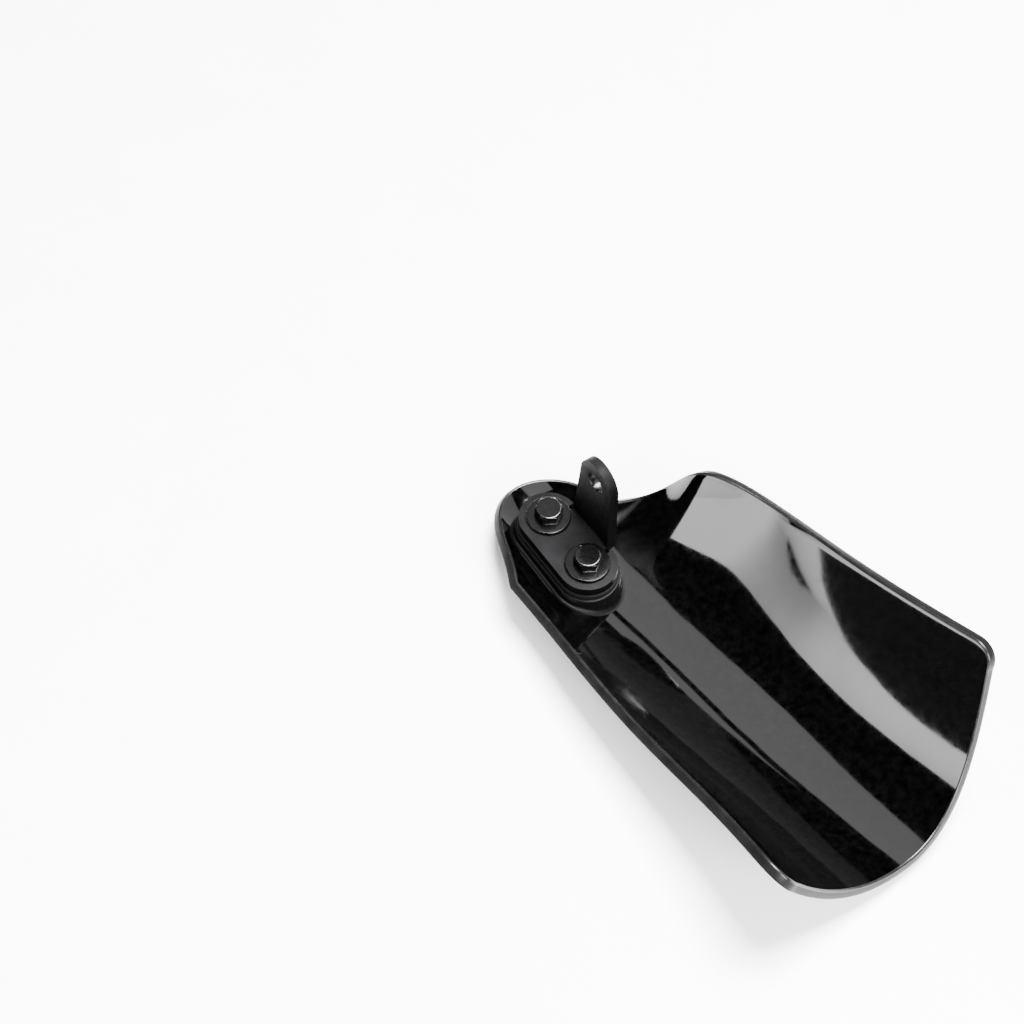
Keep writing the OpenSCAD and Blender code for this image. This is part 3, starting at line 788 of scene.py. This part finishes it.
def ringOfBars():
    tree = bpy.data.node_groups.new("ringOfBars", "GeometryNodeTree")
    sockets = {}
    for name in marks:
        kind = "NodeSocketInt" if name == "Count" else "NodeSocketFloat"
        sockets[name] = tree.interface.new_socket(name, in_out="INPUT", socket_type=kind).identifier
    tree.interface.new_socket("Geometry", in_out="OUTPUT", socket_type="NodeSocketGeometry")

    given = tree.nodes.new("NodeGroupInput").outputs
    sides = {"X": given["Length"], "Y": given["Width"], "Z": given["High"]}
    size = addNode(tree, "ShaderNodeCombineXYZ", sides)
    bar = addNode(tree, "GeometryNodeMeshCube", {"Size": size})
    toMiddle = {0: given["Length"], 1: 0.5, 2: given["Inner"]}
    out = addNode(tree, "ShaderNodeMath", toMiddle, operation="MULTIPLY_ADD")
    outward = addNode(tree, "ShaderNodeCombineXYZ", {"X": out})
    moved = addNode(tree, "GeometryNodeTransform", {"Geometry": bar, "Translation": outward})
    spots = addNode(tree, "GeometryNodePoints", {"Count": given["Count"], "Position": (0, 0, 0)})
    step = addNode(tree, "ShaderNodeMath", {0: math.tau, 1: given["Count"]}, operation="DIVIDE")
    number = addNode(tree, "GeometryNodeInputIndex")
    byNumber = {0: number, 1: step, 2: given["Turn"]}
    angle = addNode(tree, "ShaderNodeMath", byNumber, operation="MULTIPLY_ADD")
    turned = addNode(tree, "ShaderNodeCombineXYZ", {"Z": angle})
    inputs = {"Points": spots, "Instance": moved, "Rotation": turned}
    copies = addNode(tree, "GeometryNodeInstanceOnPoints", inputs)
    solid = addNode(tree, "GeometryNodeRealizeInstances", {"Geometry": copies})
    coated = addNode(tree, "GeometryNodeSetMaterial", {"Geometry": solid, "Material": coat})
    tree.links.new(coated, tree.nodes.new("NodeGroupOutput").inputs["Geometry"])

    carrier = makePiece("barCarrier", [(0, 0, 0)], [], [coat])
    nodes = carrier.modifiers.new("ring", "NODES")
    nodes.node_group = tree
    for name, value in marks.items():
        nodes[sockets[name]] = value
    made = bpy.data.meshes.new_from_object(carrier.evaluated_get(bpy.context.evaluated_depsgraph_get()))
    carrier.modifiers.remove(nodes)
    bpy.data.objects.remove(carrier)
    points = np.array([v.co for v in made.vertices]) + [0, 0, bolt["high"]]
    return points, [list(f.vertices) for f in made.polygons]


def grooved(points, faces, kinds):
    # the head less the bars; what the bars cut takes the head's own material
    head = makePiece("markedHead", points, faces, [coat, bright], kinds, smooth=None)
    bars = makePiece("bars", *ringOfBars(), [coat], smooth=None)
    cut = head.modifiers.new("cut", "BOOLEAN")
    cut.operation, cut.solver, cut.object = "DIFFERENCE", "EXACT", bars
    made = bpy.data.meshes.new_from_object(head.evaluated_get(bpy.context.evaluated_depsgraph_get()))
    bpy.data.objects.remove(head)
    bpy.data.objects.remove(bars)
    return (np.array([v.co for v in made.vertices]), [list(f.vertices) for f in made.polygons],
            [f.material_index for f in made.polygons])


for place, nodeName in zip(boltPlaces, ("nose_bolt", "inner_bolt")):
    points, faces, kinds = boltMesh()
    if nodeName == "inner_bolt":
        points, faces, kinds = grooved(points, faces, kinds)
    stackPiece(nodeName.replace("_b", "B"), points + [place, 0, bolt["under"]], faces,
               [blackOxide(place), bright], nodeName, kinds)
print("bolts made")

# floor and light
studio = {"floorSize": 8.0, "room": 0.015}  # metres, and how bright the room is beside the panels
panels = {  # azimuth and elevation in degrees, distance and size in metres, glow, and a fade if any
    "frontPanel": (-101, 14, 1.6, (1.25, 1.0), 13.0, (0.2, 0.6, 0.35)),
    "overPanel": (122, 63, 1.8, (1.4, 1.4), 2.2),
    "sidePanel": (122, 31, 2.05, (0.6, 0.4), 1.8),
    "backPanel": (77, 28, 1.8, (1.9, 1.4), 1.8),
    "nosePanel": (-3, 55, 1.9, (1.2, 1.2), 2.6),
    "fillPanel": (82, 79, 1.9, (0.8, 0.9), 172.0),
    "endPanel": (-12, 30, 1.9, (1.1, 1.0), 55.0),
}


def paleTable():
    # white table top with a faint gloss
    material, tree, where = newMaterial("white table top", Specular_IOR_Level=0.3, Roughness=0.35)
    fleck = addNode(tree, noise, {"Vector": where, "Scale": 1 / 40, "Detail": 2})
    colour = shade(tree, fleck, "#f4f4f4", "#f7f7f7")
    tree.links.new(colour, tree.nodes["Principled BSDF"].inputs["Base Color"])
    return material


side = studio["floorSize"] / 2
corners = [(-side, -side, 0), (side, -side, 0), (side, side, 0), (-side, side, 0)]
makePiece("floor", corners, [[0, 1, 2, 3]], [paleTable()], smooth=None)
world = bpy.data.worlds.new("room")
world.use_nodes = True
world.node_tree.nodes["Background"].inputs["Color"].default_value = rgb("#ffffff")
world.node_tree.nodes["Background"].inputs["Strength"].default_value = studio["room"]
bpy.context.scene.world = world


def softbox(name, azimuth, elevation, distance, size, glow, fade=None):
    # a soft panel facing the part; glow is its brightness, with a white sheet lit fully at 1;
    # fade gives how far from its upright middle it stays bright, where it is dimmest, and how dim
    a, e = math.radians(azimuth), math.radians(elevation)
    light = bpy.data.lights.new(name, "AREA")
    light.shape, light.size, light.size_y = "RECTANGLE", size[0], size[1]
    light.energy = glow * math.pi * size[0] * size[1]
    lamp = bpy.data.objects.new(name, light)
    lamp.location = Vector((math.cos(e) * math.cos(a), math.cos(e) * math.sin(a), math.sin(e))) * distance
    lamp.rotation_euler = (-lamp.location).to_track_quat("-Z", "Y").to_euler()
    bpy.context.scene.collection.objects.link(lamp)
    if fade:
        light.use_nodes = True
        tree = light.node_tree
        where = addNode(tree, "ShaderNodeNewGeometry", output="Position")
        across = {0: where, 1: (-math.sin(a), math.cos(a), 0)}
        along = addNode(tree, "ShaderNodeVectorMath", across, output="Value", operation="DOT_PRODUCT")
        away = addNode(tree, "ShaderNodeMath", {0: along}, operation="ABSOLUTE")
        inputs = {"Value": away, "From Min": fade[0], "From Max": fade[1], "To Min": 1.0, "To Max": fade[2]}
        level = addNode(tree, "ShaderNodeMapRange", inputs, interpolation_type="SMOOTHSTEP")
        tree.links.new(level, tree.nodes["Emission"].inputs["Strength"])


for name, values in panels.items():
    softbox(name, *values)
print("light set")
